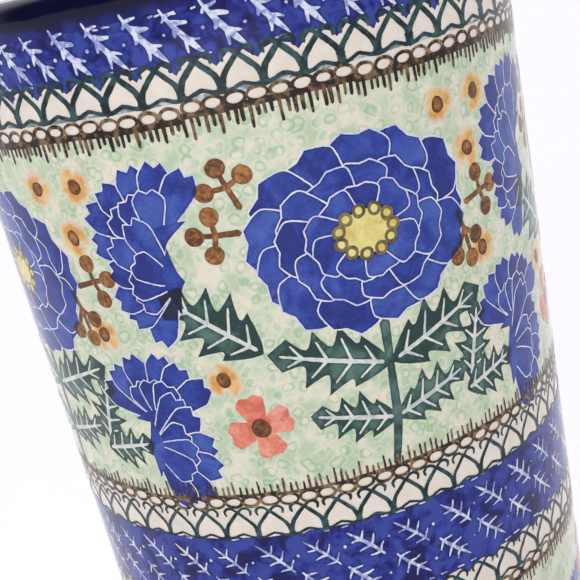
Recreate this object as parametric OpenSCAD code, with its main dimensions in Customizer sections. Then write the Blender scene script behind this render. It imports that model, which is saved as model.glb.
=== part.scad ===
// Tall straight mug of painted stoneware, with a strap handle luted to its back.
// Millimetres, +Z up, the handle towards +Y. The origin is the centre of the foot,
// on the plane that the mug stands on.

/* [Cup] */
// Height from the foot to the crest of the lip
mug_h = 156; // [140:1:170]
// Outer radius at the lip
rim_r = 45.5; // [43:0.5:48]
// Outer radius of the wall, carried down to the plane of the foot
base_r = 41.2; // [40:0.2:43]
// Thickness of the wall just above the inner corner
wall_t = 4.8; // [4.2:0.1:6]
// Thickness of the lip
lip_t = 3.8; // [3:0.1:4]
// Radius of the rounded heel between wall and foot
heel_r = 8; // [6:0.5:9]
// Height of the floor inside, above the foot plane
floor_z = 7; // [6:0.5:9]
// Radius of the corner between the inner wall and the floor
inner_corner_r = 9; // [6:0.5:12]

/* [Foot] */
// Width of the standing ring
ring_w = 3.6; // [3:0.2:5]
// Depth of the recess inside the standing ring
recess_d = 2; // [1:0.25:2.5]
// Height up to which the heel is wiped free of glaze
bare_h = 2.4; // [2:0.2:4]

/* [Handle] */
// Width of the strap
strap_w = 15; // [12:0.5:18]
// Thickness of the strap
strap_t = 9; // [8:0.5:11]
// Height of the centre line where the strap leaves the wall
handle_top = 124; // [118:1:128]
// Height of the centre line where the strap comes back to the wall
handle_low = 51; // [46:1:54]
// Distance of the grip's centre line from the cup's axis
reach = 72; // [70:1:76]
// Centre-line radius of the upper bend
upper_bend_r = 20; // [17:0.5:21]
// Centre-line radius of the lower bend
lower_bend_r = 27; // [20:0.5:27]

/* [Slip and glaze] */
// Length of the collar of slip along the strap
slip_len = 2; // [1:0.2:3]
// Height of the collar of slip around the strap
slip_rise = 1.4; // [1:0.2:2]
// Thickness of the glaze
glaze_t = 0.4; // [0.3:0.05:0.6]

/* [Hidden] */

$fn = 96;
arc_steps = 14;          // straight steps in each rounded corner of the section
strap_sides = 24;        // sides of the strap's oval
heel_start = -76;        // angle where the heel's arc leaves the standing ring
sink = 5;                // how far the roots run on inside the wall before they are trimmed

heel_z = heel_r + 1;
heel_x = wall_r(heel_z) - heel_r;
ring_r = heel_x + heel_r * cos(heel_start);
bare_a = -asin((heel_z - bare_h) / heel_r);
lip_x = rim_r - lip_t / 2;
lip_z = mug_h - lip_t / 2;
corner_z = floor_z + inner_corner_r;
corner_x = wall_r(corner_z) - wall_t - inner_corner_r;

// The handle lies in the plane x = 0, and these are [y, z] points of it.
upper_c = [reach - upper_bend_r, handle_top - upper_bend_r];
lower_c = [reach - lower_bend_r, handle_low + lower_bend_r];

function wall_r(z) = base_r + (rim_r - base_r) * z / mug_h;

function arc(c, r, from, to) =
    [for (i = [0:arc_steps]) let (a = from + (to - from) * i / arc_steps) c + r * [cos(a), sin(a)]];

// Outside of the section from a heel angle up to the lip's crest, moved in by inset.
function outside(inset, from) = concat(
    arc([heel_x, heel_z], heel_r - inset, from, 0),
    arc([lip_x, lip_z], lip_t / 2 - inset, 0, 90));

// Inside of the section from the lip's crest down to the middle of the floor, moved into the clay by inset.
function inside(inset) = concat(
    arc([lip_x, lip_z], lip_t / 2 - inset, 90, 180),
    arc([corner_x, corner_z], inner_corner_r + inset, 0, -90),
    [[0, floor_z - inset]]);

function reversed(list) = [for (i = [len(list) - 1:-1:0]) list[i]];

// Everything inside the outer surface, moved in by inset, with no hollow.
module filled_cup(inset) {
    rotate_extrude()
        polygon(concat([[0, 0], [ring_r, 0]], outside(inset, heel_start), [[0, mug_h - inset]]));
}

// Puts a shape that is drawn flat, as [y, z], upright in the handle's plane.
module in_handle_plane() {
    rotate([90, 0, 90]) children();
}

// The strap's oval, with its thickness along x.
module oval(grow) {
    polygon([for (i = [0:strap_sides - 1]) let (a = 360 * i / strap_sides)
        [(strap_t / 2 + grow) * cos(a), (strap_w / 2 + grow) * sin(a)]]);
}

// The straight root at height z, from inside the wall out to a distance from the cup's axis.
module root(z, to, grow) {
    from = base_r - sink;
    translate([from, z, 0]) rotate([0, 90, 0]) linear_extrude(to - from) rotate(90) oval(grow);
}

// The whole strap, from inside the wall round to the wall again.
module strap(grow) {
    in_handle_plane() {
        root(handle_top, upper_c[0], grow);
        translate(upper_c) rotate_extrude(angle = 90) translate([upper_bend_r, 0]) oval(grow);
        translate([reach, lower_c[1], 0]) rotate([-90, 0, 0])
            linear_extrude(upper_c[1] - lower_c[1]) oval(grow);
        translate(lower_c) rotate(-90) rotate_extrude(angle = 90) translate([lower_bend_r, 0]) oval(grow);
        root(handle_low, lower_c[0], grow);
    }
}

// Where one root's slip sits: a collar that goes through the glaze to the clay.
module slip_collar(z) {
    in_handle_plane() root(z, wall_r(z) + slip_len, slip_rise);
}

module slip_joint(z) {
    difference() {
        slip_collar(z);
        filled_cup(glaze_t);
        strap(-glaze_t);
    }
}

module mug_body() {
    color("linen") rotate_extrude()
        polygon(concat(
            [[ring_r, 0]], outside(glaze_t, heel_start), inside(glaze_t),
            [[0, recess_d], [ring_r - ring_w - recess_d / 2, recess_d], [ring_r - ring_w, 0]]));
}

module handle() {
    color("linen") difference() {
        strap(-glaze_t);
        filled_cup(glaze_t);
    }
}

module upper_slip_joint() {
    color("antiquewhite") slip_joint(handle_top);
}

module lower_slip_joint() {
    color("antiquewhite") slip_joint(handle_low);
}

module outer_glaze() {
    color("lightsteelblue") difference() {
        rotate_extrude()
            polygon(concat(outside(0, bare_a), reversed(outside(glaze_t, bare_a))));
        slip_collar(handle_top);
        slip_collar(handle_low);
    }
}

module liner_glaze() {
    color("ivory") rotate_extrude()
        polygon(concat(inside(0), reversed(inside(glaze_t))));
}

module handle_glaze() {
    color("royalblue") difference() {
        strap(0);
        strap(-glaze_t);
        filled_cup(0);
        slip_collar(handle_top);
        slip_collar(handle_low);
    }
}

mug_body();
handle();
upper_slip_joint();
lower_slip_joint();
outer_glaze();
liner_glaze();
handle_glaze();
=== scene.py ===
import bpy
import math
import random
from mathutils import Matrix, Vector, kdtree
from mathutils.geometry import delaunay_2d_cdt


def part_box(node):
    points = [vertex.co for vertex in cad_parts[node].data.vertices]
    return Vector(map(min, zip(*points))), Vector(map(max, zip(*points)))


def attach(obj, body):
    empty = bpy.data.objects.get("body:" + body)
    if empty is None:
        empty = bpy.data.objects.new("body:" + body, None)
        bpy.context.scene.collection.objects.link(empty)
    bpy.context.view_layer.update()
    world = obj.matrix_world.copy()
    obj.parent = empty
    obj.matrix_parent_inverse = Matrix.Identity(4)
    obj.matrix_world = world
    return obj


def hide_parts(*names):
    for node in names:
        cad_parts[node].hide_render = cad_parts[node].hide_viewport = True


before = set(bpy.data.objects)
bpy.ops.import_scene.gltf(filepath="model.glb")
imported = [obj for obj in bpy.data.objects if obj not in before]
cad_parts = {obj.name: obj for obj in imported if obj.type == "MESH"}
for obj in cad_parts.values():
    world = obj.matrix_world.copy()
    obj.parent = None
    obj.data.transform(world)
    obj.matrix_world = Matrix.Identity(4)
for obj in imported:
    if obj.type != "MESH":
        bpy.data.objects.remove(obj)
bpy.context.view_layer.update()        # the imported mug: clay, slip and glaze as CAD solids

mm = 0.001
chance = random.Random(41)

# the cup's own measures, in mm


def ringRadius(node, height, reach):
    # largest radius of a CAD node's corners near a height
    corners = bpy.data.objects[node].data.vertices
    near = [math.hypot(v.co.x, v.co.y) / mm for v in corners if abs(v.co.z / mm - height) < reach]
    return max(near)


cup = {
    "lipRound": 1.9,         # height of the rounded lip
    "heelTop": 9.0,          # where the straight wall starts above the heel
    "nominalRadius": 45.0,   # radius at which lengths round the cup are counted
    "mainFlower": -108.4,    # direction of the first big flower, in degrees, -90 is the front
    "repeat": 79.4,          # degrees from one flower to the next; the rest is left for the handle
    "repeats": 4,
}
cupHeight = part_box("outer_glaze")[1][2] / mm
lipRadius = ringRadius("outer_glaze", cupHeight - cup["lipRound"], 0.3)
heelRadius = ringRadius("outer_glaze", cup["heelTop"], 0.3)


def wallRadius(height):
    share = (height - cup["heelTop"]) / (cupHeight - cup["lipRound"] - cup["heelTop"])
    return heelRadius + (lipRadius - heelRadius) * share


# Heights of the painted bands, in mm above the foot
rows = {
    "lipBand": 151.2,
    "sprigBandTop": 150.6,
    "sprigs": 147.9,
    "heartsTop": 144.4,
    "beadsTop": 138.0,
    "beadsMid": 80.0,
    "heartsMid": 78.8,
    "bandMidTop": 73.9,
    "sprigsMidHigh": 69.7,
    "sprigsMidLow": 64.35,
    "bandMidLow": 60.1,
    "heartsLow": 59.6,
    "beadsLow": 53.6,
    "beadsFoot": 21.0,
    "heartsFoot": 19.8,
    "footBand": 15.0,
    "sprigsFoot": 11.9,
}


def onWall(x, y, lift):
    # x runs round the cup in mm at the nominal radius, y is the height
    angle = math.radians(cup["mainFlower"]) + x / cup["nominalRadius"]
    r = wallRadius(y) + lift
    return Vector((r * math.cos(angle), r * math.sin(angle), y)) * mm


fullTurn = 2 * math.pi * cup["nominalRadius"]
seamX = math.radians(90 - cup["mainFlower"]) * cup["nominalRadius"]   # the seam is behind the handle
lifts = {"field": 0.03, "bands": 0.03, "hearts": 0.05, "beads": 0.07, "handle": 0.05}   # mm over the glaze


# colour and material helpers


def linear(hexColor):
    # an sRGB hex value as linear red, green, blue and alpha
    out = []
    for i in (1, 3, 5):
        c = int(hexColor[i:i + 2], 16) / 255
        out.append(c / 12.92 if c <= 0.04045 else ((c + 0.055) / 1.055) ** 2.4)
    return (*out, 1.0)


def addNode(tree, kind, settings, links=()):
    # one node: settings by socket number, socket name or property, then (socket, source) links
    node = tree.nodes.new("ShaderNode" + kind)
    for key, value in settings.items():
        value = linear(value) if isinstance(value, str) and value[0] == "#" else value
        if key == "stops":
            while len(node.color_ramp.elements) < len(value):
                node.color_ramp.elements.new(0.5)
            for element, (place, color) in zip(node.color_ramp.elements, value):
                element.position = place
                element.color = linear(color) if isinstance(color, str) else (color, color, color, 1)
        elif isinstance(key, int) or key in node.inputs:
            node.inputs[key].default_value = value
        else:
            setattr(node, key, value)
    for socket, source in links:
        tree.links.new(source, node.inputs[socket])
    return node


def newMaterial(name):
    material = bpy.data.materials.new(name)
    material.use_nodes = True
    tree = material.node_tree
    tree.nodes.clear()
    return material, tree


glazeCoat = {
    "ior": 1.5,            # a lead-free clear glaze is a glass
    "gloss": 0.30,         # share of its mirror image that a softly pitted skin keeps
    "roughness": 0.055,
    "wave": 7.0,           # mm between the soft swells of the fired surface
    "swell": 0.12,         # strength of those swells
}


def glaze(tree, color):
    # pigment under clear glaze: a glassy skin with a faint orange peel
    place = addNode(tree, "TexCoord", {})
    swell = addNode(tree, "TexNoise", {"Scale": 1 / (glazeCoat["wave"] * mm), "Detail": 2.0},
                    [("Vector", place.outputs["Object"])])
    bump = addNode(tree, "Bump", {"Strength": glazeCoat["swell"], "Distance": 0.0004},
                   [("Height", swell.outputs["Fac"])])
    shader = addNode(tree, "BsdfPrincipled",
                     {"Roughness": glazeCoat["roughness"], "IOR": glazeCoat["ior"],
                      "Specular IOR Level": glazeCoat["gloss"]},
                     [("Base Color", color), ("Normal", bump.outputs["Normal"])])
    addNode(tree, "OutputMaterial", {}, [("Surface", shader.outputs["BSDF"])])


pigment = {
    "grain": 0.35,         # mm; real pigment grain is under 0.1, drawn coarse enough to show
    "grainDepth": 0.35,    # how far the grain shifts the depth of colour
    "strokeDepth": 0.3,    # how far one stroke differs from the next
    "rimStrength": 0.85,   # how much pigment pools along an edge
    "bareSlip": "#e2e3cc", # what a soft edge fades into
}


def underglaze(name, thin, mid, full, edge=None, rim=0.3, soft=None, wash=2.4, mottle=1.3):
    # a brushed or stamped pigment: thin, mid and full are its depths of colour, mottle how much it
    # wanders between them, edge the colour of its outer rim; soft fades it into the slip over that many mm
    material, tree = newMaterial(name)
    place = addNode(tree, "TexCoord", {})
    broad = addNode(tree, "TexNoise", {"Scale": 1 / (wash * mm), "Detail": 3.0, "Roughness": 0.55,
                                       "Distortion": 0.6}, [("Vector", place.outputs["Object"])])
    fine = addNode(tree, "TexNoise", {"Scale": 1 / (pigment["grain"] * mm), "Detail": 2.0},
                   [("Vector", place.outputs["Object"])])
    tone = addNode(tree, "Attribute", {"attribute_name": "tone"})
    swing = addNode(tree, "Math", {"operation": "MULTIPLY_ADD", 1: mottle, 2: 0.5 - 0.5 * mottle},
                    [(0, broad.outputs["Fac"])])
    grainy = addNode(tree, "Math", {"operation": "MULTIPLY_ADD", 1: pigment["grainDepth"]},
                     [(0, fine.outputs["Fac"]), (2, swing.outputs[0])])
    depth = addNode(tree, "Math", {"operation": "MULTIPLY_ADD", 1: pigment["strokeDepth"]},
                    [(0, tone.outputs["Fac"]), (2, grainy.outputs[0])])
    color = addNode(tree, "ValToRGB", {"stops": ((0.50, thin), (0.80, mid), (1.08, full))},
                    [(0, depth.outputs[0])]).outputs["Color"]
    inset = addNode(tree, "Attribute", {"attribute_name": "inset"})
    if edge:
        atEdge = addNode(tree, "MapRange",
                         {"From Max": rim, "To Min": pigment["rimStrength"], "To Max": 0.0},
                         [("Value", inset.outputs["Fac"])])
        color = addNode(tree, "Mix", {"data_type": "RGBA", 7: edge},
                        [(0, atEdge.outputs[0]), (6, color)]).outputs[2]
    if soft:
        fade = addNode(tree, "MapRange",
                       {"From Max": soft, "To Min": 0.3, "interpolation_type": "SMOOTHSTEP"},
                       [("Value", inset.outputs["Fac"])])
        color = addNode(tree, "Mix", {"data_type": "RGBA", 6: pigment["bareSlip"]},
                        [(0, fade.outputs[0]), (7, color)]).outputs[2]
    glaze(tree, color)
    return material


# outlines, in mm


def curveThrough(points, closed=False, step=0.4):
    # a smooth line through a few points
    count = len(points)
    out = []
    for i in range(count if closed else count - 1):
        if closed:
            p0, p1, p2, p3 = (points[(i + k) % count] for k in (-1, 0, 1, 2))
        else:
            p0, p1, p2, p3 = (points[min(max(i + k, 0), count - 1)] for k in (-1, 0, 1, 2))
        pieces = max(1, round(math.dist(p1, p2) / step))
        for j in range(pieces):
            t = j / pieces
            out.append(tuple(0.5 * (2 * b + (c - a) * t + (2 * a - 5 * b + 4 * c - d) * t * t
                                    + (3 * b - a - 3 * c + d) * t ** 3)
                             for a, b, c, d in zip(p0, p1, p2, p3)))
    if not closed:
        out.append(tuple(points[-1]))
    return out


def cornered(points, sharp):
    # a closed outline that is smooth except at the numbered points
    sharp = sorted(sharp)
    if not sharp:
        return curveThrough(points, True)
    out = []
    for a, b in zip(sharp, sharp[1:] + [sharp[0] + len(points)]):
        run = [points[k % len(points)] for k in range(a, b + 1)]
        out += curveThrough(run)[:-1]
    return out


def disc(center, radius, squash=1.0, turn=0.0, wobble=0.04):
    # a round dab, a little out of true
    count = max(10, round(radius * 14))
    phase = chance.uniform(0, 6.28)
    out = []
    for i in range(count):
        a = 2 * math.pi * i / count
        r = radius * (1 + wobble * math.sin(2 * a + phase) + 0.5 * wobble * math.sin(3 * a - phase))
        x, y = r * math.cos(a), r * squash * math.sin(a)
        out.append((center[0] + x * math.cos(turn) - y * math.sin(turn),
                    center[1] + x * math.sin(turn) + y * math.cos(turn)))
    return out


def stroke(points, widths, step=0.4):
    # a brush line: its width runs through the listed values
    line = curveThrough(points, step=step)
    left, right = [], []
    for i, (x, y) in enumerate(line):
        ahead, back = line[min(i + 1, len(line) - 1)], line[max(i - 1, 0)]
        dx, dy = ahead[0] - back[0], ahead[1] - back[1]
        size = math.hypot(dx, dy) or 1
        t = i / (len(line) - 1) * (len(widths) - 1)
        k = min(int(t), len(widths) - 2)
        half = 0.5 * (widths[k] + (widths[k + 1] - widths[k]) * (t - k))
        left.append((x - dy / size * half, y + dx / size * half))
        right.append((x + dy / size * half, y - dx / size * half))
    ends = []
    for (x, y), other, w in ((line[-1], line[-2], widths[-1]), (line[0], line[1], widths[0])):
        size = math.dist((x, y), other) or 1
        reach = 0.45 * w / size
        ends.append((x + (x - other[0]) * reach, y + (y - other[1]) * reach))
    return left + [ends[0]] + right[::-1] + [ends[1]]


def petal(root, tip, width, neck, belly, cut):
    # a petal from its root to a tip with one notch; neck and belly are shares of its width and length
    length = math.dist(root, tip)
    half = width / 2
    ux, uy = (tip[0] - root[0]) / length, (tip[1] - root[1]) / length
    side = [(0, neck * half), (0.25 * length, 0.62 * half), (belly * length, half),
            (0.80 * length, 0.93 * half)]
    jig = chance.uniform(-0.02, 0.02)
    crown = [((0.94 + jig) * length, 0.52 * half), ((1.0 - cut + jig) * length, 0.0),
             ((0.94 + jig) * length, -0.41 * half)]
    local = side + crown + [(a, -b) for a, b in side[::-1]]
    outline = [(root[0] + ux * a - uy * b, root[1] + uy * a + ux * b) for a, b in local]
    return cornered(outline, {0, 4, 5, 6, len(local) - 1})


def grown(outline, margin):
    # the same outline moved outward by a margin
    count = len(outline)
    area = sum(a[0] * b[1] - b[0] * a[1] for a, b in zip(outline, outline[1:] + outline[:1]))
    reach = margin if area > 0 else -margin
    out = []
    for i in range(count):
        (ax, ay), (bx, by) = outline[i - 1], outline[(i + 1) % count]
        size = math.dist((ax, ay), (bx, by)) or 1
        out.append((outline[i][0] + (by - ay) / size * reach, outline[i][1] - (bx - ax) / size * reach))
    return out


# laying paint on the wall

tremble = 0.035      # mm by which a brushed edge wavers


def laySheet(shapes, spacing):
    # cuts overlapping outlines into one flat sheet of triangles. Each triangle takes the paint of
    # the last outline that covers it; a paint of None leaves the ground bare there.
    points, faces = [], []
    low = [min(p[k] for outline, _ in shapes for p in outline) for k in (0, 1)]
    high = [max(p[k] for outline, _ in shapes for p in outline) for k in (0, 1)]
    for outline, _ in shapes:
        area = sum(a[0] * b[1] - b[0] * a[1] for a, b in zip(outline, outline[1:] + outline[:1]))
        ring = outline if area > 0 else outline[::-1]
        faces.append(list(range(len(points), len(points) + len(ring))))
        waver = tremble * min(1, math.dist(ring[0], ring[1]) / 0.4)    # less on small dots
        points += [Vector((x + chance.uniform(-waver, waver), y + chance.uniform(-waver, waver)))
                   for x, y in ring]
    shiftX, shiftY = 0.013, 0.017       # keeps the grid off the outlines' own points
    for j in range(int((high[1] - low[1]) / spacing) + 1):
        for i in range(int((high[0] - low[0]) / spacing) + 1):
            points.append(Vector((low[0] + (i + 0.5 * (j % 2)) * spacing + shiftX,
                                  low[1] + j * spacing + shiftY)))
    corners, _, tris, _, _, covers = delaunay_2d_cdt(points, [], faces, 1, 1e-4)
    paints = []
    for cover in covers:
        stack = sorted(set(cover))
        kinds = [shapes[k][1] for k in stack]
        top = kinds[-1] if kinds else None      # a gap enclosed by outlines belongs to none
        if top == "green" and "cobalt" in kinds or top == "cobalt" and "green" in kinds:
            top = "overlap"
        elif top == "berry" and "cobalt" in kinds:
            top = "overlap"
        paints.append((top, stack[-1] if stack else 0))
    around = [set() for _ in corners]
    for tri, (paint, _) in zip(tris, paints):
        for v in tri:
            around[v].add(paint)
    used = {}
    for tri, (paint, shape) in zip(tris, paints):
        if paint:
            used.setdefault(paint, []).append((tri, shape))
    edgeUse = {}
    for tri in tris:
        for a, b in zip(tri, tri[1:] + tri[:1]):
            key = (min(a, b), max(a, b))
            edgeUse[key] = edgeUse.get(key, 0) + 1
    outer = {v for key, n in edgeUse.items() if n == 1 for v in key}
    sheet = {}
    for paint, members in used.items():
        touched = sorted({v for tri, _ in members for v in tri})
        border = [v for v in touched
                  if v in outer or (None in around[v] if paint == "ochre" else len(around[v]) > 1)]
        tree = kdtree.KDTree(max(1, len(border)))
        for n, v in enumerate(border):
            tree.insert((*corners[v], 0), n)
        tree.balance()
        inset = {v: tree.find((*corners[v], 0))[2] if border else 1.0 for v in touched}
        number = {v: n for n, v in enumerate(touched)}
        sheet[paint] = {
            "points": [tuple(corners[v]) for v in touched],
            "inset": [inset[v] for v in touched],
            "faces": [tuple(number[v] for v in tri) for tri, _ in members],
            "tone": [(shape * 0.6180339) % 1.0 for _, shape in members],
        }
    return sheet


layers = {}          # what each paint of a region has so far


def layOn(region, shapes, spacing, place):
    # cuts the shapes and adds each paint's share to its layer
    for paint, sheet in laySheet(shapes, spacing).items():
        layer = layers.setdefault((region, paint), {"points": [], "inset": [], "faces": [], "tone": []})
        start = len(layer["points"])
        layer["points"] += [place(*p) for p in sheet["points"]]
        layer["inset"] += sheet["inset"]
        layer["faces"] += [tuple(start + v for v in face) for face in sheet["faces"]]
        layer["tone"] += sheet["tone"]


def makePiece(name, points, faces, material):
    mesh = bpy.data.meshes.new(name)
    mesh.from_pydata([tuple(p) for p in points], [], faces)
    mesh.update()
    mesh.polygons.foreach_set("use_smooth", [True] * len(mesh.polygons))
    piece = bpy.data.objects.new(name, mesh)
    bpy.context.collection.objects.link(piece)
    mesh.materials.append(material)
    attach(piece, "root")
    return piece


def makePaintPiece(name, region, paint, material):
    layer = layers.pop((region, paint))
    piece = makePiece(name, layer["points"], layer["faces"], material)
    mesh = piece.data
    inset = mesh.attributes.new("inset", "FLOAT", "POINT")
    inset.data.foreach_set("value", layer["inset"])
    tone = mesh.attributes.new("tone", "FLOAT", "FACE")
    tone.data.foreach_set("value", layer["tone"])
    return piece


# paints

print("mixing the paints")
paints = {
    # cobalt oxide, brushed on in washes: violet-blue, deeper where a stroke ends or two meet
    "cobalt": underglaze("cobaltOxideBrushed", "#4862b4", "#2b429e", "#1b2a80", edge="#172078", wash=4.2,
                         mottle=1.2),
    # the same cobalt sponged in bands: it wanders from lavender-blue to navy violet
    "cobaltBand": underglaze("cobaltOxideSponged", "#34449e", "#1b2585", "#090652", edge="#10145a",
                             wash=3.4, mottle=2.8),
    # copper and chrome green, washed on unevenly: dull and bluish, nearly black where it pools
    "green": underglaze("copperChromeGreen", "#5e7c75", "#3e6059", "#203d3a", edge="#1c3a38", wash=5.0,
                        mottle=2.2),
    # the same green thick from a stamp: a dark blue-green line with paler skips
    "hearts": underglaze("copperGreenStamped", "#35565a", "#1b3c40", "#0a2226", wash=1.6, mottle=2.0),
    # and thinned where the stamp dragged: a patchy grey haze
    "smear": underglaze("copperGreenThinned", "#ccceca", "#9ba6aa", "#7a868c", wash=1.2, mottle=3.0),
    # iron and manganese brown, stamped: nearly black where it is thick, tan where it is thin
    "brown": underglaze("ironBrownStamped", "#917658", "#5a432c", "#2b1a0e", wash=1.4, mottle=2.6),
    # the same brown in bold lines: heavier and darker, with worn tan gaps
    "lash": underglaze("ironBrownLines", "#7d6248", "#3d2917", "#190c05", wash=1.6, mottle=2.6),
    # iron brown in round dabs: amber in the middle, burnt at the rim where the drop dried
    "berry": underglaze("ironBrownBrushed", "#b9804a", "#8e5a2b", "#5d3717", edge="#693e1c", rim=0.25,
                        wash=0.8, mottle=1.5),
    # cobalt over green or brown fires almost black
    "overlap": underglaze("cobaltOverGreen", "#1e2a48", "#141c38", "#0b1024"),
    # glaze over bare slip, where wax kept the paint off: white with a breath of cobalt in it
    "reserve": underglaze("waxResistLine", "#e9ebf0", "#dde1ee", "#c6cde8", wash=1.6),
    # the same inside a sponged band: blue creeps in, so it wanders from white to lavender
    "sprig": underglaze("waxResistSprig", "#e4e8f4", "#cbd2ec", "#8f9ad2", wash=1.2, mottle=2.6),
    # the same inside a leaf: white with a grey-green cast
    "vein": underglaze("waxResistVein", "#e6e7dd", "#dadfd6", "#c0ccc6", wash=1.6),
    # an iron-red stain on white slip: salmon where it is watery, brick where strokes meet
    "coral": underglaze("coralStain", "#efa48f", "#e6836d", "#d76c57", wash=2.4, mottle=1.7),
    # yellow ochre, so watery that it fades out into the slip
    "ochre": underglaze("ochreStainSoft", "#f0c78a", "#e6b26d", "#d99c50", soft=0.9, mottle=2.0),
    # pale antimony yellow: an even, milky lemon
    "yolk": underglaze("yellowStain", "#efe6a0", "#e6d885", "#d8c566"),
    # yellow over iron brown: olive rings
    "olive": underglaze("oliveBrown", "#9a8a58", "#756540", "#4a3f26"),
    # manganese in cobalt: the blue-black ring in the throat of the flower
    "night": underglaze("manganeseBlue", "#232b52", "#181d40", "#10122c"),
    # raw umber: warm dark eyes
    "seed": underglaze("umberSeed", "#8a5a34", "#683f22", "#44260f", wash=1.0, mottle=2.0),
}

# motifs


def drawn(points):
    # a closed outline from points in mm; a third figure marks a sharp corner
    return cornered([p[:2] for p in points], {k for k, p in enumerate(points) if len(p) > 2})


def turned(points, root, facing, size, flip=1):
    # moves points drawn round (0, 0) to a root, turned by degrees and scaled; a flip of -1 mirrors them
    c, s = math.cos(math.radians(facing)) * size, math.sin(math.radians(facing)) * size
    return [(root[0] + flip * p[0] * c - p[1] * s, root[1] + flip * p[0] * s + p[1] * c, *p[2:])
            for p in points]


# The flowers and leaves are plain stock shapes, each set out by a rule, in mm on the wall

# A blue field flower seen from the side: two fans of notched petals out of a pointed cup
fieldFlower = {
    "fans": ((11.0, (-64, -39, -13, 13, 39, 64)), (7.0, (-30, 0, 30))),     # reach, and angles from upright
    "petalWidth": 4.3,
    "gap": 0.2,          # the wax line left between petals
    "calyx": ((-5, -0.3, 1), (-1.6, 1.1), (1.6, 1.1), (5, -0.3, 1), (1.5, -1), (0, -1.9, 1), (-1.5, -1)),
}


def cornflower(root, facing, size=1.0):
    out = []
    for reach, angles in fieldFlower["fans"]:
        for angle in angles:
            a = math.radians(angle + chance.uniform(-3, 3))
            far = reach * chance.uniform(0.94, 1.05)
            tip = turned([(far * math.sin(a), far * math.cos(a))], root, facing, size)[0]
            shape = petal(root, tip, fieldFlower["petalWidth"] * size, neck=0.2, belly=0.68, cut=0.13)
            out += [(grown(shape, fieldFlower["gap"] * size), "reserve"), (shape, "cobalt")]
    out.append((drawn(turned(fieldFlower["calyx"], root, facing, size)), "cobalt"))
    return out


# A full blossom: rings of notched petals round a ring of stamens
blossom = {
    "middle": (0, -21.5),
    "tilt": 0.76,        # height over width, because the flower is seen a little from the side
    "rings": ((18.6, 13, 9.0, 4), (13.6, 11, 7.6, 18), (9.0, 9, 5.8, 8)),    # reach, petals, width, turn
    "gap": 0.22,
    "eye": 4.1,          # radius of the yellow middle, which the stamens ring
    "eyeRim": 0.5,
    "stamens": 11, "stamenSize": 1.05, "stamenHole": 0.55,
}


def bigFlower():
    cx, cy = blossom["middle"]
    at = lambda reach, a: (cx + reach * math.cos(a), cy + reach * blossom["tilt"] * math.sin(a))
    out = []
    for reach, count, width, turn in blossom["rings"]:
        for k in range(count):
            a = math.radians(turn + 360 * (k + chance.uniform(-0.1, 0.1)) / count)
            shape = petal(at(0.2 * reach, a), at(reach * chance.uniform(0.94, 1.04), a), width,
                          neck=0.4, belly=0.66, cut=0.1)
            out += [(grown(shape, blossom["gap"]), "reserve"), (shape, "cobalt")]
    out.append((disc((cx, cy), blossom["eye"] + blossom["eyeRim"], blossom["tilt"]), "night"))
    out.append((disc((cx, cy), blossom["eye"], blossom["tilt"]), "yolk"))
    for k in range(blossom["stamens"]):
        center = at(blossom["eye"], 2 * math.pi * k / blossom["stamens"])
        out.append((disc(center, blossom["stamenSize"]), "olive"))
        out.append((disc(center, blossom["stamenHole"]), "yolk"))
    return out


# Toothed leaves in pairs up the stem and loose beside it, in the same measures
leafSet = {
    "leaves": (        # root, tip and width
        ((-0.3, -41), (-17.5, -35.5), 10), ((0.3, -41), (17.5, -35.5), 10),
        ((-0.8, -49.5), (-13.5, -46), 8), ((-0.6, -49.5), (12.5, -46), 8),
        ((13, -48.5), (16.5, -37.5), 8), ((12, -50), (23, -48), 8), ((-18, -35), (-31, -24.5), 11),
    ),
    "stem": ((0, -35), (-0.3, -42), (-0.8, -50), (-2.2, -56.6)), "stemWidths": (1.6, 1.2, 1.5, 1.1),
    "sprayTip": (-13, 10.5), "sprayWidth": 11,       # the leaf on its own
}


def leaf(root, tip, width, teeth=4):
    # a toothed outline on a straight midrib, and its pale veins
    length = math.dist(root, tip)
    facing = math.degrees(math.atan2(tip[1] - root[1], tip[0] - root[0]))
    sides = [[], []]
    ribs = [([(0.06 * length, 0), (0.5 * length, 0), (0.9 * length, 0)], (0.6, 0.7, 0.3))]
    for side, up in ((0, 1), (1, -1)):
        for k in range(teeth):
            t = (k + 1) / (teeth + 1)
            half = up * width / 2 * math.sin(math.pi * t ** 0.8) * chance.uniform(0.9, 1.1)
            sides[side] += [(length * (t - 0.1), 0.5 * half), (length * (t + 0.07), half, 1)]
            ribs.append(([(length * (t - 0.08), 0), (length * (t + 0.03), 0.62 * half)], (0.5, 0.25)))
    outline = [(0, 0.35), *sides[0], (length, 0, 1), *sides[1][::-1], (0, -0.35)]
    out = [(drawn(turned(outline, root, facing, 1)), "green")]
    return out + [(stroke(turned(line, root, facing, 1), widths), "vein") for line, widths in ribs]


def foliage():
    out = [(stroke(leafSet["stem"], leafSet["stemWidths"]), "green")]
    for root, tip, width in leafSet["leaves"]:
        out += leaf(root, tip, width)
    return out


def leafSpray(root, facing, size=1.0, flip=1):
    # one leaf on its own, drawn from its root
    tip = turned([leafSet["sprayTip"]], root, facing, size, flip)[0]
    return leaf(root, tip, leafSet["sprayWidth"] * size)


softBloom = {"radius": 3.0, "petals": 5, "eyeRim": 1.22, "eye": 0.92, "eyeSquash": 0.9}


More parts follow.
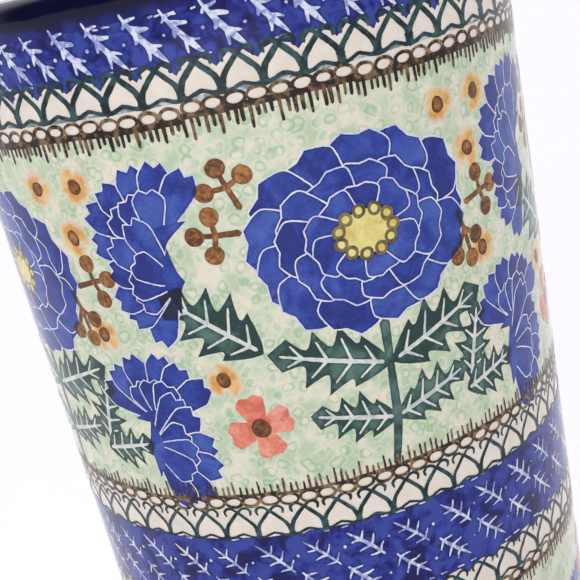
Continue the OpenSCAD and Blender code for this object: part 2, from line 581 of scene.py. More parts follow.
def softFlower(center, turn):
    # a washed-in little flower with a ringed brown eye
    radius, squash = softBloom["radius"], softBloom["eyeSquash"]
    out = []
    for k in range(softBloom["petals"]):
        a = math.radians(turn + 360 / softBloom["petals"] * k + chance.uniform(-10, 10))
        reach = radius * chance.uniform(0.9, 1.12)
        tip = (center[0] + reach * math.cos(a), center[1] + reach * math.sin(a))
        out.append((petal(center, tip, 0.95 * radius, neck=0.7, belly=0.62, cut=0.1), "ochre"))
    lean = chance.uniform(0, 3.1)
    out.append((disc(center, softBloom["eyeRim"], squash, lean), "seed"))
    out.append((disc(center, softBloom["eye"], squash, lean), "berry"))
    return out


coralBloom = {
    "petals": (5.3, 5.7, 5.4, 5.2), "petalWidth": 4.5,
    "eyeRim": 1.5, "eye": 1.28, "seedRing": 0.8, "seed": 0.27, "middleSeed": 0.3,
}


def coralFlower(center, turn=12):
    # four notched petals and a brown eye with a ring of seeds
    out = []
    for k, length in enumerate(coralBloom["petals"]):
        a = math.radians(turn + 90 * k + chance.uniform(-5, 5))
        tip = (center[0] + length * math.cos(a), center[1] + length * math.sin(a))
        out.append((petal(center, tip, coralBloom["petalWidth"], neck=0.16, belly=0.72, cut=0.12), "coral"))
    out += [(disc(center, coralBloom["eyeRim"]), "seed"), (disc(center, coralBloom["eye"]), "berry")]
    for k in range(6):
        x = center[0] + coralBloom["seedRing"] * math.cos(1.05 * k)
        y = center[1] + coralBloom["seedRing"] * math.sin(1.05 * k)
        out.append((disc((x, y), coralBloom["seed"]), "seed"))
    out.append((disc(center, coralBloom["middleSeed"]), "seed"))
    return out


berryTwig = {"tail": (0.75, 0.95), "stalk": (0.85, 0.65), "berry": 1.4}


def berrySpray(joint, berries, tail):
    # three berries on forked stalks, and the stalk's tail
    out = [(stroke([joint, tail], berryTwig["tail"]), "berry")]
    out += [(stroke([joint, berry], berryTwig["stalk"]), "berry") for berry in berries]
    return out + [(disc(berry, berryTwig["berry"], 0.98, wobble=0.03), "berry") for berry in berries]


def moved(shapes, dx, dy):
    return [([(x + dx, y + dy) for x, y in outline], paint) for outline, paint in shapes]


# the main field


def mainMotif():
    # one repeat; x from the big flower's middle, y from the upper bead row
    shapes = foliage() + bigFlower()
    shapes += cornflower((-28.9, -16.4), 25, 1.06)
    shapes += cornflower((-28.2, -22.8), 88, 1.0)
    shapes += cornflower((-36.6, -43.6), 0, 1.0)
    shapes += cornflower((-39.0, -48.8), -98, 1.05)
    for x, y, turn in ((-47.6, -7.8, 10), (-39.8, -7.8, 35), (-43.0, -15.2, 0), (-42.8, -30.2, 20),
                       (-24.6, -38.2, 15)):
        shapes += softFlower((x, y), turn)
    shapes += coralFlower((-20.9, -46.4))
    shapes += berrySpray((-17.4, -11.0), ((-18.3, -8.2), (-20.6, -11.2), (-15.0, -9.7)), (-16.3, -14.0))
    shapes += berrySpray((-20.4, -17.2), ((-20.7, -14.5), (-23.4, -16.9), (-21.2, -19.9)), (-17.2, -17.4))
    shapes += berrySpray((-41.6, -21.9), ((-42.0, -19.1), (-38.9, -21.6), (-40.6, -24.6)), (-45.0, -22.6))
    shapes += berrySpray((-46.2, -26.2), ((-43.9, -27.8), (-48.2, -29.8), (-45.4, -30.9)), (-47.0, -23.6))
    return shapes


def lowerMotif():
    # one repeat of the lower field: a cornflower pair between two leaf sprays
    stalks = ([(13, -105.6), (19, -108.4), (26, -107.6), (31, -104.6)],
              [(54, -105.4), (47, -109.4), (40, -108.2), (33, -105.0)])
    shapes = [(stroke(stalk, (0.9, 1.1, 1.1, 0.8)), "green") for stalk in stalks]
    shapes += leafSpray((15.5, -105.8), 0, 0.95) + leafSpray((52.5, -105.6), 0, 0.95, -1)
    shapes += cornflower((28.4, -104.8), 28, 0.95) + cornflower((36.4, -105.2), -30, 0.95)
    shapes += coralFlower((44.8, -96.4), 30)
    for x, y, turn in ((20.6, -93.6, 0), (11.0, -110.4, 25), (-4.4, -109.6, 10), (55.0, -110.2, 40)):
        shapes += softFlower((x, y), turn)
    shapes += berrySpray((-7.4, -98.2), ((-8.2, -95.2), (-10.6, -98.8), (-4.9, -96.0)), (-6.6, -101.4))
    return shapes


def handleGap():
    # the strip behind the handle that the repeats leave free
    shapes = leafSpray((158.0, -34.5), 0, 1.0, -1) + leafSpray((160.0, -20.0), 10, 0.8)
    shapes += leafSpray((157.0, -46.5), 0, 0.9)
    shapes += [(stroke([(158.6, -16), (157.4, -26), (158.6, -36), (157.2, -46), (158.4, -55)],
                       (0.7, 1.2, 1.4, 1.3, 1.0)), "green")]
    for x, y, turn in ((151.6, -9.4, 5), (165.4, -9.0, 30), (150.6, -27.8, 50), (167.2, -44.6, 12),
                       (151.4, -53.2, 0)):
        shapes += softFlower((x, y), turn)
    shapes += berrySpray((165.8, -52.0), ((163.2, -53.6), (168.2, -54.0), (166.4, -49.0)), (162.0, -50.4))
    return shapes


print("painting the two flower fields")
sectorStep = math.radians(cup["repeat"]) * cup["nominalRadius"]
fieldShapes = []
for k in range(-1, cup["repeats"] - 1):
    fieldShapes += moved(mainMotif() + lowerMotif(), k * sectorStep, rows["beadsTop"])
fieldShapes += moved(handleGap(), 0, rows["beadsTop"])
layOn("field", fieldShapes, 0.9, lambda x, y: onWall(x, y, lifts["field"]))

# stamped rows

stamps = {
    # mm from one stamp to the next
    "heartPitch": 5.3, "beadPitch": 2.95, "lashPitch": 0.98, "sprigPitch": 5.2, "lowSprigPitch": 7.4,
    "heartHeight": 5.0,
    "beadWidth": 2.35, "beadHeight": 1.35,
    "footSprigSize": 0.58,
    "flecks": 110,         # skips of the sponge along one band
}


def turns(pitch):
    # how many stamps go round, and the true pitch
    count = round(fullTurn / pitch)
    return count, fullTurn / count


def heartsRow(top, weight, smeared=False):
    # crossed strokes with curled tips; the clay left between them reads as hearts
    count, pitch = turns(stamps["heartPitch"])
    shapes = []
    low = top - stamps["heartHeight"]
    for k in range(count if smeared else 0):     # the same green smeared thin where the stamp's foot dragged
        x = seamX - fullTurn + k * pitch
        middle = (x + pitch / 2, low + chance.uniform(-0.15, 0.15))
        shapes.append((stroke([(x - 0.1, low), middle, (x + pitch + 0.1, low)],
                              (0.6, chance.uniform(0.3, 0.8), 0.6)), "smear"))
    for k in range(count):
        x = seamX - fullTurn + (k + 0.5) * pitch + chance.uniform(-0.2, 0.2)
        y = top - 0.6 + chance.uniform(-0.12, 0.12)
        half = pitch / 2
        w = weight * chance.uniform(0.9, 1.1)
        strokes = (      # a leg, a curl over the point, a knot where two hearts meet, and a loop under it
            (((0, 0.0), (0.42 * half, 1.15), (0.80 * half, 2.3), (0.97 * half, 3.5)), (0.9, 1, 1, 1.2)),
            (((0, 0.1), (0.30 * half, -0.55), (0.60 * half, -0.60), (0.80 * half, -0.05),
              (0.74 * half, 0.6)), (0.8, 0.75, 0.75, 0.85, 0.6)),
            (((half, 3.1), (half, 3.8), (0.98 * half, 4.35)), (1.5, 1.2, 1.5)),
            (((half, 4.35), (0.66 * half, 4.42), (0.30 * half, 4.05), (0, 3.8)), (1.0, 0.7, 0.65, 0.7)),
        )
        for side in (-1, 1):
            for path, widths in strokes:
                shapes.append((stroke([(x + side * px, y - py) for px, py in path], [w * v for v in widths]),
                               "hearts"))
    return shapes


def beadRow(y, lash, lashes):
    # pierced-looking beads outlined in brown, with a fringe of strokes on one side
    count, pitch = turns(stamps["beadPitch"])
    shapes, beads = [], []
    drop = 0.0
    for k in range(count):
        if k % 4 == 0:
            drop = chance.uniform(-0.34, 0.34)
        x = seamX - fullTurn + (k + 0.5) * pitch + chance.uniform(-0.15, 0.15)
        shapes.append((disc((x, y + drop), pitch * 0.54, 0.68), "brown"))
        ends = [(x - 0.55 * pitch, y + drop + lash * 1.0), (x + 0.55 * pitch, y + drop + lash * 1.05)]
        shapes.append((stroke(ends, (lashes["base"], lashes["base"] * chance.uniform(0.8, 1.3))),
                       lashes["paint"]))
        beads.append((disc((x, y + drop), stamps["beadWidth"] / 2 * chance.uniform(0.82, 1.0),
                           stamps["beadHeight"] / stamps["beadWidth"]), None))
    number, step = turns(stamps["lashPitch"])
    for k in range(number):
        x = seamX - fullTurn + (k + 0.5) * step + chance.uniform(-0.15, 0.15)
        long = chance.uniform(*lashes["length"])
        if k % 4 == 1:
            long = lashes["length"][1] * chance.uniform(1.0, 1.25)
        lean = chance.uniform(-0.12, 0.12)
        width = lashes["width"] * chance.uniform(0.85, 1.15)
        shapes.append((stroke([(x, y + lash * 0.7), (x + lean, y + lash * (0.9 + long))],
                              (1.1 * width, width, 0.8 * width), step=0.5), lashes["paint"]))
    return shapes + beads


# Sprigs left pale in the cobalt, drawn round their middles in mm: a spine and its needles.
# The upper band has a short thorny one, the middle band a fir twig with paired needles.
thornSprig = {
    "spine": ([(-2.4, 3.4), (-1.9, 2.3), (-0.9, 0.7), (0.3, -0.9), (2.4, -3.4)],
              (0.26, 0.55, 0.78, 0.8, 0.16)),
    "needles": (((-1.9, 2.4), (-0.5, 2.75), 0.5, 0.26), ((-1.9, 2.3), (-2.4, 1.7), 0.55, 0.3),
                ((-1.2, 1.4), (0.75, 1.15), 0.8, 0.42), ((-0.9, 0.6), (-1.15, -0.4), 0.75, 0.4),
                ((0.3, -0.8), (2.0, -1.2), 0.6, 0.24), ((0.2, -0.9), (0.15, -2.7), 0.62, 0.28)),
}
firSprig = {
    "spine": ([(-2.6, 2.6), (-2.1, 1.95), (-0.75, 0.5), (0.65, -0.8), (2.64, -2.5)],
              (0.3, 0.5, 0.55, 0.5, 0.16)),
    "needles": (((0.65, -0.8), (0.1, -2.3), 0.45, 0.2), ((0.65, -0.8), (2.2, -0.6), 0.45, 0.2),
                ((-0.75, 0.5), (-1.5, -1.3), 0.5, 0.22), ((-0.75, 0.5), (1.2, 1.1), 0.5, 0.22),
                ((-2.1, 1.95), (-2.8, 0.4), 0.45, 0.2), ((-2.1, 1.95), (-0.4, 2.25), 0.45, 0.2)),
}


def sprig(x, y, size, side, shape):
    # side -1 turns the sprig upside down
    grow = lambda points: [(x + side * size * px, y + side * size * py) for px, py in points]
    line, widths = shape["spine"]
    heavy = size * chance.uniform(0.85, 1.15)
    shapes = [(stroke(grow(line), [heavy * w for w in widths]), "sprig")]
    for a, b, thick, thin in shape["needles"]:
        middle = [(a[i] + b[i]) / 2 + chance.uniform(-0.12, 0.12) for i in (0, 1)]
        shapes.append((stroke(grow([a, middle, b]), (heavy * thick, heavy * thin)), "sprig"))
    return shapes


def cobaltBand(top, low, sprigRows, pitch, shape, teeth):
    # a sponged band with ragged edges and rows of sprigs left pale; teeth reach down between the hearts
    left, right = seamX - fullTurn, seamX
    heartCount = turns(stamps["heartPitch"])[0]
    edge = {}
    for name, level, tooth in (("top", top, 0.0), ("low", low, teeth)):
        line = []
        steps = heartCount * 6
        for k in range(steps + 1):
            phase = abs((k / 6) % 1.0 - 0.5) * 2      # 1 between two hearts, 0 at a heart's point
            height = level - tooth * phase ** 2 + chance.uniform(-0.25, 0.25)
            line.append((left + (right - left) * k / steps, height))
        line[-1] = (right, line[0][1])
        edge[name] = line
    shapes = [(edge["low"] + edge["top"][::-1], "cobaltBand")]
    count, step = turns(pitch)
    for level, side, shift in sprigRows:
        for k in range(count):
            x = left + (k + 0.5 + shift) * step + chance.uniform(-0.25, 0.25)
            if x > right - 2.6:
                continue
            y = level + chance.uniform(-0.3, 0.3)
            shapes += sprig(x, y, chance.uniform(0.94, 1.04), side, shape)
            spot = (x + 0.5 * step, y + chance.uniform(-0.8, 0.4))
            shapes.append((disc(spot, chance.uniform(0.16, 0.3)), "sprig"))
    for k in range(stamps["flecks"]):
        x = chance.uniform(left + 2, right - 2)
        y = chance.choice((top - 0.35, low + 0.35)) + chance.uniform(-0.15, 0.15)
        reach = chance.uniform(0.25, 0.7)
        ends = [(x - reach, y), (x + reach, y + chance.uniform(-0.15, 0.15))]
        shapes.append((stroke(ends, (0.3, 0.22)), "sprig"))
    return shapes


print("stamping the rows")


def lifted(lift):
    return lambda x, y: onWall(x, y, lift)


upper = cobaltBand(rows["sprigBandTop"], rows["heartsTop"] - 0.3, [(rows["sprigs"], 1, 0.32)],
                   stamps["sprigPitch"], thornSprig, 1.5)
layOn("rows", upper, 1.0, lifted(lifts["bands"]))
middle = cobaltBand(rows["bandMidTop"], rows["bandMidLow"],
                    [(rows["sprigsMidHigh"], -1, 0.3), (rows["sprigsMidLow"], 1, 0.18)],
                    stamps["lowSprigPitch"], firSprig, 1.3)
layOn("rows", middle, 1.0, lifted(lifts["bands"]))
count, step = turns(stamps["sprigPitch"])
foot = []
for k in range(count):
    x = seamX - fullTurn + (k + 0.5) * step
    foot += sprig(x, rows["sprigsFoot"], stamps["footSprigSize"], 1, thornSprig)
layOn("rows", foot, 1.0, lifted(lifts["bands"]))
# the fringe under a bead row: shortest and longest stroke, their width, and the line they hang from
bold = {"length": (1.4, 2.5), "width": 0.55, "base": 0.85, "paint": "lash"}
fine = {"length": (1.1, 2.1), "width": 0.38, "base": 0.45, "paint": "brown"}
layOn("rows", heartsRow(rows["heartsTop"], 0.82, smeared=True), 2.0, lifted(lifts["hearts"]))
for name in ("heartsMid", "heartsLow", "heartsFoot"):
    layOn("rows", heartsRow(rows[name], 0.6), 2.0, lifted(lifts["hearts"]))
for level, side, brush in ((rows["beadsTop"], -1, bold), (rows["beadsMid"], 1, fine),
                           (rows["beadsLow"], -1, fine), (rows["beadsFoot"], 1, fine)):
    layOn("rows", beadRow(level, side, brush), 2.0, lifted(lifts["beads"]))

print("making the paint pieces")
pieceNames = {
    "field": {
        "cobalt": "cobalt_petals", "green": "green_leaves", "reserve": "petal_lines",
        "overlap": "dark_overlaps", "vein": "leaf_veins", "berry": "brown_berries", "coral": "coral_petals",
        "ochre": "ochre_petals", "yolk": "yellow_centres", "olive": "olive_stamens", "seed": "flower_eyes",
        "night": "stamen_shades",
    },
    "rows": {
        "cobaltBand": "cobalt_bands", "sprig": "pale_sprigs", "hearts": "green_heart_rows",
        "smear": "green_smears", "brown": "brown_bead_rows", "lash": "brown_lashes",
    },
}
for region, names in pieceNames.items():
    for paint, name in names.items():
        piece = makePaintPiece(name, region, paint, paints[paint])
        print("  ", name, len(piece.data.polygons), "triangles")

# the glazed wall


def revolve(profile, segments):
    points, faces = [], []
    for r, z in profile:
        for k in range(segments):
            a = 2 * math.pi * k / segments
            points.append(Vector((r * math.cos(a), r * math.sin(a), z)) * mm)
    for i in range(len(profile) - 1):
        here, above = i * segments, (i + 1) * segments
        for k in range(segments):
            n = (k + 1) % segments
            faces.append((here + k, here + n, above + n, above + k))
    return points, faces


wall = {
    "segments": 512, "rings": 90,
    "lipThickness": 3.8, "heelRadius": 8.0, "heelStart": -56,
    "patch": 2.6,          # mm across a patch of the sponged mint
    "loop": 2.0,           # mm between the stamp's loops
    "warp": 1.6,           # mm over which the loops lose their roundness
    "fade": 0.6,           # mm over which the mint ends above and below a field
}
lipHalf = wall["lipThickness"] / 2


def arcPoints(cx, cz, r, start, stop, count):
    return [(cx + r * math.cos(math.radians(start + (stop - start) * k / count)),
             cz + r * math.sin(math.radians(start + (stop - start) * k / count))) for k in range(count + 1)]


def groundMaterial():
    # pale slip with a mint stamp pressed on with a sponge, under clear glaze: loops over soft patches
    material, tree = newMaterial("mintSlipUnderClearGlaze")
    place = addNode(tree, "TexCoord", {})
    axes = addNode(tree, "SeparateXYZ", {}, [(0, place.outputs["Object"])])
    wash = addNode(tree, "TexNoise", {"Scale": 1 / (wall["patch"] * mm), "Detail": 3.0},
                   [("Vector", place.outputs["Object"])])
    warp = addNode(tree, "TexNoise", {"Scale": 1 / (wall["warp"] * mm), "Detail": 1.0},
                   [("Vector", place.outputs["Object"])])
    bent = addNode(tree, "VectorMath", {"operation": "MULTIPLY_ADD", 1: (0.0011, 0.0011, 0.0011)},
                   [(0, warp.outputs["Color"]), (2, place.outputs["Object"])])
    cells = addNode(tree, "TexVoronoi", {"Scale": 1 / (wall["loop"] * mm)},
                    [("Vector", bent.outputs[0])])
    loops = addNode(tree, "ValToRGB",
                    {"stops": ((0.22, 0.0), (0.33, 1.0), (0.41, 0.9), (0.50, 0.05), (0.68, 0.5))},
                    [(0, cells.outputs["Distance"])])
    mint = addNode(tree, "ValToRGB",
                   {"stops": ((0.36, "#efe6d3"), (0.50, "#e3e3cc"), (0.66, "#d0dabc"))},
                   [(0, wash.outputs["Fac"])])
    pressed = addNode(tree, "ValToRGB", {"stops": ((0.34, 0.2), (0.58, 0.85))},
                      [(0, wash.outputs["Fac"])])
    amount = addNode(tree, "Math", {"operation": "MULTIPLY"},
                     [(0, loops.outputs["Color"]), (1, pressed.outputs["Color"])])
    stamped = addNode(tree, "Mix", {"data_type": "RGBA", 7: "#9fc49f"},
                      [(0, amount.outputs[0]), (6, mint.outputs["Color"])])
    cream = addNode(tree, "ValToRGB", {"stops": ((0.3, "#efe7db"), (0.7, "#e7dccd"))},
                    [(0, wash.outputs["Fac"])])
    # the stamp keeps to the two flower fields: each is a rise and a fall in height
    color = cream.outputs["Color"]
    fade = wall["fade"]
    for low, high in ((rows["beadsMid"] + 1.5, rows["beadsTop"] - 1.5),
                      (rows["beadsFoot"] + 1.5, rows["beadsLow"] - 1.5)):
        up = addNode(tree, "MapRange",
                     {"From Min": (low - fade) * mm, "From Max": (low + fade) * mm},
                     [("Value", axes.outputs["Z"])])
        down = addNode(tree, "MapRange",
                       {"From Min": (high + fade) * mm, "From Max": (high - fade) * mm},
                       [("Value", axes.outputs["Z"])])
        both = addNode(tree, "Math", {"operation": "MULTIPLY"},
                       [(0, up.outputs[0]), (1, down.outputs[0])])
        color = addNode(tree, "Mix", {"data_type": "RGBA"},
                        [(0, both.outputs[0]), (6, color), (7, stamped.outputs[2])]).outputs[2]
    # the lip is dipped in cobalt that darkens to its crest, and the heel is banded with it
    lipEdge = addNode(tree, "MapRange", {"From Min": (rows["lipBand"] - 2.6) * mm,
                                         "From Max": (rows["lipBand"] - 2.4) * mm},
                      [("Value", axes.outputs["Z"])])
    heelEdge = addNode(tree, "MapRange", {"From Min": (rows["footBand"] + 0.3) * mm,
                                          "From Max": (rows["footBand"] - 0.3) * mm},
                       [("Value", axes.outputs["Z"])])
    cobaltHere = addNode(tree, "Math", {"operation": "MAXIMUM"},
                         [(0, lipEdge.outputs[0]), (1, heelEdge.outputs[0])])
    cobalt = addNode(tree, "ValToRGB",
                     {"stops": ((0.36, "#2c3a94"), (0.5, "#1a2280"), (0.66, "#0f1160"))},
                     [(0, wash.outputs["Fac"])])
    dip = addNode(tree, "MapRange", {"From Min": (rows["lipBand"] - 1.2) * mm,
                                     "From Max": (rows["lipBand"] + 1.2) * mm},
                  [("Value", axes.outputs["Z"])])
    navy = addNode(tree, "Mix", {"data_type": "RGBA", 7: "#09082a"},
                   [(0, dip.outputs[0]), (6, cobalt.outputs["Color"])])
    painted = addNode(tree, "Mix", {"data_type": "RGBA"},
                      [(0, cobaltHere.outputs[0]), (6, color), (7, navy.outputs[2])])
    glaze(tree, painted.outputs[2])
    return material


print("glazing the wall")
profile = arcPoints(heelRadius - wall["heelRadius"], cup["heelTop"], wall["heelRadius"],
                    wall["heelStart"], 0, 14)
for k in range(1, wall["rings"]):
    z = cup["heelTop"] + (cupHeight - lipHalf - cup["heelTop"]) * k / wall["rings"]
    profile.append((wallRadius(z), z))
profile += arcPoints(lipRadius - lipHalf, cupHeight - lipHalf, lipHalf, 0, 90, 14)
points, faces = revolve(profile, wall["segments"])
paintedWall = makePiece("painted_wall", points, faces, groundMaterial())
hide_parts("outer_glaze")


# the inside

inner = {
    "floor": 7.0, "corner": 9.0, "wall": 4.8, "segments": 256,
    "cloud": 14,           # mm across the slow clouds of the poured glaze
    "speck": 3.5,          # mm between iron specks
}


def linerMaterial():
    # poured cream glaze, thick and glassy, with a few iron specks
    material, tree = newMaterial("creamLinerGlaze")
    place = addNode(tree, "TexCoord", {})
    cloud = addNode(tree, "TexNoise", {"Scale": 1 / (inner["cloud"] * mm), "Detail": 3.0},
                    [("Vector", place.outputs["Object"])])
    base = addNode(tree, "ValToRGB", {"stops": ((0.35, "#f1ecdf"), (0.65, "#e8dfce"))},
                   [(0, cloud.outputs["Fac"])])
    specks = addNode(tree, "TexVoronoi", {"Scale": 1 / (inner["speck"] * mm)},
                     [("Vector", place.outputs["Object"])])
    dots = addNode(tree, "ValToRGB", {"stops": ((0.03, 1.0), (0.06, 0.0))},
                   [(0, specks.outputs["Distance"])])
    speckled = addNode(tree, "Mix", {"data_type": "RGBA", 7: "#b79f7c"},
                       [(0, dots.outputs["Color"]), (6, base.outputs["Color"])])
    axes = addNode(tree, "SeparateXYZ", {}, [(0, place.outputs["Object"])])
    dip = addNode(tree, "MapRange",
                  {"From Min": (cupHeight - 2.8) * mm, "From Max": (cupHeight - 2.4) * mm},
                  [("Value", axes.outputs["Z"])])
    dipped = addNode(tree, "Mix", {"data_type": "RGBA", 7: "#0f0f48"},
                     [(0, dip.outputs[0]), (6, speckled.outputs[2])])
    glaze(tree, dipped.outputs[2])
    return material


print("lining the inside")
cornerZ = inner["floor"] + inner["corner"]
cornerX = wallRadius(cornerZ) - inner["wall"] - inner["corner"]
profile = arcPoints(lipRadius - lipHalf, cupHeight - lipHalf, lipHalf, 90, 180, 14)
topX, topZ = profile[-1]
for k in range(1, 40):
    t = k / 40
    profile.append((topX + (cornerX + inner["corner"] - topX) * t, topZ + (cornerZ - topZ) * t))
profile += arcPoints(cornerX, cornerZ, inner["corner"], 0, -90, 16)
for k in range(1, 13):
    profile.append((cornerX * (1 - k / 12) + 0.01, inner["floor"]))
points, faces = revolve(profile, inner["segments"])
liner = makePiece("liner", points, faces, linerMaterial())
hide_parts("liner_glaze")

# bare clay

bare = {
    "grog": 0.5,           # mm between grog grains, at the coarse end of real grog so that they show
    "pit": 0.2,            # mm deep
}


def bareClay():
    # fired stoneware body: matt and warm buff, with fine grog and iron spots
    material, tree = newMaterial("bareStoneware")
    place = addNode(tree, "TexCoord", {})
    grog = addNode(tree, "TexNoise", {"Scale": 1 / (bare["grog"] * mm), "Detail": 5.0,
                                      "Roughness": 0.7},
                   [("Vector", place.outputs["Object"])])
    color = addNode(tree, "ValToRGB",
                    {"stops": ((0.35, "#b09676"), (0.5, "#cbb595"), (0.65, "#d9c7aa"))},
                    [(0, grog.outputs["Fac"])])
    bump = addNode(tree, "Bump", {"Strength": 0.5, "Distance": bare["pit"] * mm},
                   [("Height", grog.outputs["Fac"])])
    shader = addNode(tree, "BsdfPrincipled", {"Roughness": 0.82, "IOR": 1.5},
                     [("Base Color", color.outputs["Color"]), ("Normal", bump.outputs["Normal"])])
    addNode(tree, "OutputMaterial", {}, [("Surface", shader.outputs["BSDF"])])
    return material


body = bpy.data.objects["mug_body"]
body.data.materials.clear()
body.data.materials.append(bareClay())

# the handle

strap = {
    "thick": 9.0,
    "fillet": 4.2,         # mm over which it swells into the wall
    "upperBend": 20.0, "lowerBend": 27.0,
    "sides": 48,
    "sprigPitch": 8.4,     # mm between the sprigs down its back
    "sprigSize": 0.95,
    "sprigStart": 15, "sprigEnd": 11,      # mm left free at the roots
    "dot": 0.35, "dotSide": 2.6,
    "wash": 4.5,           # mm across a wash of the sponged cobalt
    "bury": 1.2,           # mm by which its roots go into the wall
}
handleLow, handleHigh = (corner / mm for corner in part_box("handle"))
strapWidth = handleHigh.x - handleLow.x
strapHalf = strap["thick"] / 2
strapReach, strapTop, strapLow = handleHigh.y - strapHalf, handleHigh.z - strapHalf, handleLow.z + strapHalf


def strapLine():
    # centre line from the upper root to the lower one, as (y, z) with its direction
    upper = (strapReach - strap["upperBend"], strapTop - strap["upperBend"])
    lower = (strapReach - strap["lowerBend"], strapLow + strap["lowerBend"])
    line = []
    start = wallRadius(strapTop) - strap["bury"]
    for k in range(16):
        line.append((start + (upper[0] - start) * k / 16, strapTop, 0.0))
    for k in range(24):
        a, r = math.pi / 2 * (1 - k / 24), strap["upperBend"]
        line.append((upper[0] + r * math.cos(a), upper[1] + r * math.sin(a), a - math.pi / 2))
    for k in range(14):
        line.append((strapReach, upper[1] + (lower[1] - upper[1]) * k / 14, -math.pi / 2))
    for k in range(30):
        a, r = -math.pi / 2 * k / 30, strap["lowerBend"]
        line.append((lower[0] + r * math.cos(a), lower[1] + r * math.sin(a), a - math.pi / 2))
    end = wallRadius(strapLow) - strap["bury"]
    for k in range(9):
        line.append((lower[0] + (end - lower[0]) * k / 8, strapLow, -math.pi))
    return line


def handleMaterial():
    # cobalt sponged on the strap: deep violet-blue that breaks paler where it is thin
    material, tree = newMaterial("cobaltSpongedHandle")
    place = addNode(tree, "TexCoord", {})
    wash = addNode(tree, "TexNoise", {"Scale": 1 / (strap["wash"] * mm), "Detail": 4.0,
                                      "Roughness": 0.6},
                   [("Vector", place.outputs["Object"])])
    color = addNode(tree, "ValToRGB",
                    {"stops": ((0.34, "#3a4aa4"), (0.5, "#1c2684"), (0.66, "#0d0b58"))},
                    [(0, wash.outputs["Fac"])])
    glaze(tree, color.outputs["Color"])
    return material


print("pulling the handle")
line = strapLine()
points, faces = [], []
sides = strap["sides"]


def strapPoint(station, turn, lift=0.0):
    # a point on the strap's skin: station is a place on its line, turn goes round its section
    y, z, direction = station
    gap = y - wallRadius(z)
    t = min(max(gap / strap["fillet"], 0.0), 1.0)
    flare = strap["fillet"] * 0.75 * (1 - math.sqrt(1 - (1 - t) ** 2))
    across = (strapWidth / 2 + flare + lift) * math.cos(turn)
    through = (strapHalf + flare + lift) * math.sin(turn)
    py = y - through * math.sin(direction)
    pz = z + through * math.cos(direction)
    hug = max(0.0, 1 - max(gap, 0) / 9)          # near the wall the section follows its curve
    py -= hug * (wallRadius(pz) - math.sqrt(max(wallRadius(pz) ** 2 - across ** 2, 1)))
    return Vector((across, py, pz)) * mm


for station in line:
    points += [strapPoint(station, 2 * math.pi * k / sides) for k in range(sides)]
for i in range(len(line) - 1):
    for k in range(sides):
        n = (k + 1) % sides
        faces.append((i * sides + k, (i + 1) * sides + k, (i + 1) * sides + n, i * sides + n))
handle = makePiece("strap_handle", points, faces, handleMaterial())
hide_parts("handle", "handle_glaze", "upper_slip_joint", "lower_slip_joint")

along = [0.0]
for a, b in zip(line, line[1:]):
    along.append(along[-1] + math.dist(a[:2], b[:2]))


def onStrap(x, y):
    # x runs across the strap's back, y along it from the upper root, in mm
    k = max(i for i, length in enumerate(along[:-1]) if length <= max(y, 0))
    t = (y - along[k]) / (along[k + 1] - along[k])
    station = [a + (b - a) * t for a, b in zip(line[k], line[k + 1])]
    return strapPoint(station, math.pi / 2 - x / (strapWidth / 2), lifts["handle"])


shapes = []
for k in range(round((along[-1] - strap["sprigStart"] - strap["sprigEnd"]) / strap["sprigPitch"])):
    y = strap["sprigStart"] + k * strap["sprigPitch"]
    shapes += sprig(0.0, y, strap["sprigSize"], -1, firSprig)
    for x, share in ((strap["dotSide"], 0.4), (-strap["dotSide"], 0.1)):
        shapes.append((disc((x, y + share * strap["sprigPitch"]), strap["dot"]), "sprig"))
layOn("strap", shapes, 1.0, onStrap)
makePaintPiece("handle_sprigs", "strap", "sprig", paints["sprig"])

# floor, light and camera

print("setting the table")
studio = {
    # camera: mm from the cup's axis and above the foot, and degrees
    "distance": 188.2, "height": 156.6, "azimuth": -33.7, "pan": -0.08, "pitch": 17.5, "roll": 12.98,
    "lens": 68.93, "sensor": 36.0,
    "tableHalf": 4.0,                                       # m
    "keySize": (0.9, 0.9), "keyPower": 6.2,                 # m and W
    "keyOffset": (-0.2, 0, 0.5), "keyAim": (0, 0, 0.05),    # from a point 1 m in front of the cup
    # brightness of the surroundings: a bright sweep behind and at the sides, darker towards the viewer
    "sweepFront": 0.10, "sweepSides": 1.9, "sweepOverhead": 0.22, "backdrop": 1.0,
    "white": "#fbfaff",
}
floorMesh = bpy.data.meshes.new("floor")
size = studio["tableHalf"]
floorMesh.from_pydata([(-size, -size, 0), (size, -size, 0), (size, size, 0), (-size, size, 0)], [],
                      [(0, 1, 2, 3)])
floor = bpy.data.objects.new("floor", floorMesh)
bpy.context.collection.objects.link(floor)
# a white laminate table: pale and nearly matt, so it only lifts the shadows
material, tree = newMaterial("whiteLaminateTable")
shader = addNode(tree, "BsdfPrincipled", {"Base Color": "#f7f6f8", "Roughness": 0.6})
addNode(tree, "OutputMaterial", {}, [("Surface", shader.outputs["BSDF"])])
floorMesh.materials.append(material)

camera = bpy.data.objects.new("camera", bpy.data.cameras.new("camera"))
bpy.context.collection.objects.link(camera)
camera.data.sensor_width = studio["sensor"]
camera.data.lens = studio["lens"]
camera.data.clip_start = 0.01
a = math.radians(studio["azimuth"])
camera.location = Vector((math.sin(a) * studio["distance"], -math.cos(a) * studio["distance"],
                          studio["height"])) * mm
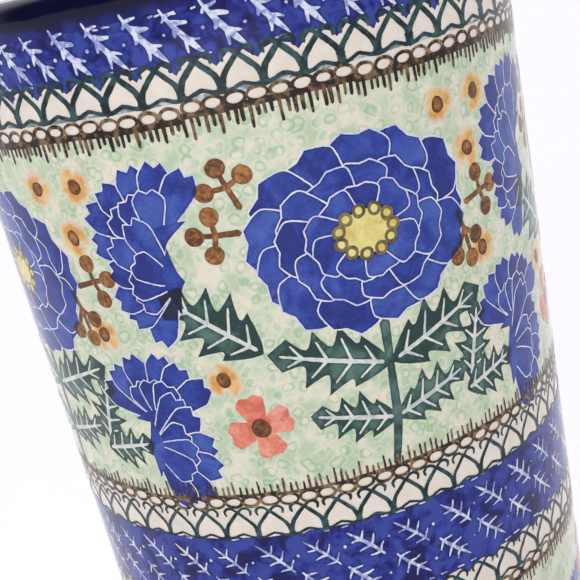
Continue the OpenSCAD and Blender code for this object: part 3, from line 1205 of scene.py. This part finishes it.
# looking level along the view direction, then tipped down and rolled
turnView = Matrix.Rotation(a - math.radians(studio["pan"]), 4, "Z")
tip = Matrix.Rotation(math.radians(90 - studio["pitch"]), 4, "X")
roll = Matrix.Rotation(math.radians(-studio["roll"]), 4, "Z")
camera.rotation_euler = (turnView @ tip @ roll).to_euler()
bpy.context.scene.camera = camera


front = Vector((camera.location.x, camera.location.y, 0)).normalized()
light = bpy.data.lights.new("key_light", "AREA")
light.shape = "RECTANGLE"
light.size, light.size_y = studio["keySize"]
light.energy = studio["keyPower"]
lamp = bpy.data.objects.new("key_light", light)
bpy.context.collection.objects.link(lamp)
lamp.location = front * 1.0 + Vector(studio["keyOffset"])
lamp.rotation_euler = (Vector(studio["keyAim"]) - lamp.location).to_track_quat("-Z", "Y").to_euler()

world = bpy.data.worlds.new("studio")
bpy.context.scene.world = world
world.use_nodes = True
tree = world.node_tree
tree.nodes.clear()
place = addNode(tree, "TexCoord", {})
away = addNode(tree, "VectorMath", {"operation": "DOT_PRODUCT", 1: -front},
               [(0, place.outputs["Generated"])])
level = addNode(tree, "SeparateXYZ", {}, [(0, place.outputs["Generated"])])
behind = addNode(tree, "MapRange", {"From Min": -0.08, "From Max": 0.38,
                                    "To Min": studio["sweepFront"], "To Max": studio["sweepSides"],
                                    "interpolation_type": "SMOOTHSTEP"},
                 [("Value", away.outputs["Value"])])
above = addNode(tree, "MapRange", {"From Min": 0.35, "From Max": 0.95,
                                   "To Max": studio["sweepOverhead"],
                                   "interpolation_type": "SMOOTHSTEP"},
                [("Value", level.outputs["Z"])])
power = addNode(tree, "Math", {"operation": "ADD"},
                [(0, behind.outputs[0]), (1, above.outputs[0])])
sky = addNode(tree, "Background", {"Color": studio["white"]}, [("Strength", power.outputs[0])])
# the cup is lit by the sweep, and stands before an even white backdrop
plain = addNode(tree, "Background", {"Color": studio["white"], "Strength": studio["backdrop"]})
seen = addNode(tree, "LightPath", {})
both = addNode(tree, "MixShader", {}, [(0, seen.outputs["Is Camera Ray"]), (1, sky.outputs[0]),
                                                 (2, plain.outputs[0])])
addNode(tree, "OutputWorld", {}, [("Surface", both.outputs[0])])
bpy.context.scene.view_settings.view_transform = "Standard"
